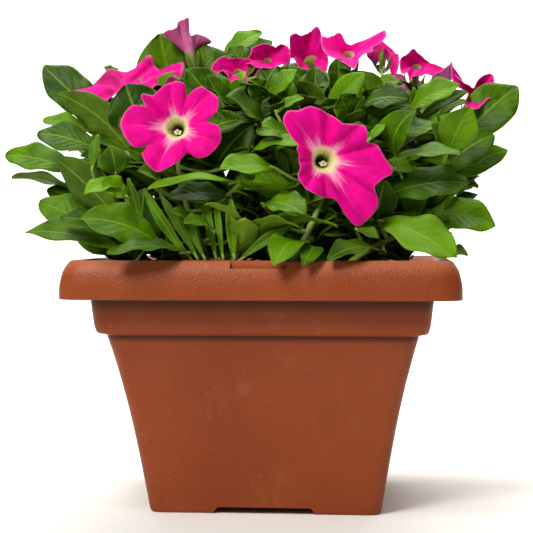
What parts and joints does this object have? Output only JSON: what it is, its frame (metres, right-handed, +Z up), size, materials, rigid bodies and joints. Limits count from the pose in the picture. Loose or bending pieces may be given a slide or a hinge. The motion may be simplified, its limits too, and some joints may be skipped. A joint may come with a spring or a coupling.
{
  "type": "potted petunia",
  "caption": "Bushy pink-flowered petunia growing in a square flared planter with a rolled rim; stands free on its base.",
  "frame": {"origin": "middle of the planter's base, on the surface that it stands on", "axes": "+Z up, -Y towards the planter's front, +X to the right seen from the front"},
  "size_m": [0.4147, 0.3265, 0.3919],
  "materials": {
    "planter_plastic": "satin moulded plastic, terracotta colour, lightly pebbled rim",
    "potting_mix": "crumbly dark peat and bark",
    "stem": "pale olive, finely hairy",
    "leaf": "satin green with sunken pale midrib",
    "petal": "velvety hot pink with a pale throat"
  },
  "bodies": {
    "root": {"corolla_back": "petal", "corolla_back_left": "petal", "corolla_back_right": "petal", "corolla_centre": "petal", "corolla_front_left": "petal", "corolla_front_right": "petal", "corolla_left": "petal", "corolla_right": "petal", "corolla_top": "petal", "corolla_top_left": "petal", "corolla_top_right": "petal", "corolla_upper_centre": "petal", "corolla_upper_left": "petal", "corolla_upper_right": "petal", "leaf_back_left_high": "leaf", "leaf_back_left_low": "leaf", "leaf_back_low": "leaf", "leaf_back_mid": "leaf", "leaf_back_right_high": "leaf", "leaf_back_right_low": "leaf", "leaf_behind_left_flower": "leaf", "leaf_centre_dark": "leaf", "leaf_centre_fold": "leaf", "leaf_centre_heart": "leaf", "leaf_far_left_mid": "leaf", "leaf_far_left_top": "leaf", "leaf_far_right_tip": "leaf", "leaf_far_right_top": "leaf", "leaf_front_left_large": "leaf", "leaf_front_right_large": "leaf", "leaf_front_strap": "leaf", "leaf_front_under": "leaf", "leaf_left_dark": "leaf", "leaf_left_edge_on": "leaf", "leaf_left_low": "leaf", "leaf_left_olive": "leaf", "leaf_left_over_rim": "leaf", "leaf_left_pale": "leaf", "leaf_right_bright": "leaf", "leaf_right_dark": "leaf", "leaf_right_side": "leaf", "leaf_right_strap": "leaf", "leaf_rim_hang": "leaf", "leaf_top_bright": "leaf", "leaf_top_left_large": "leaf", "leaf_top_mid_large": "leaf", "planter": "planter_plastic", "potting_mix": "potting_mix", "shoot_back": "stem", "shoot_back_left": "stem", "shoot_back_right": "stem", "shoot_centre_left": "stem", "shoot_centre_right": "stem", "shoot_front_left": "stem", "shoot_front_right": "stem", "shoot_left": "stem", "shoot_left_low": "stem", "shoot_right": "stem", "shoot_right_low": "stem"}
  },
  "joints": []
}
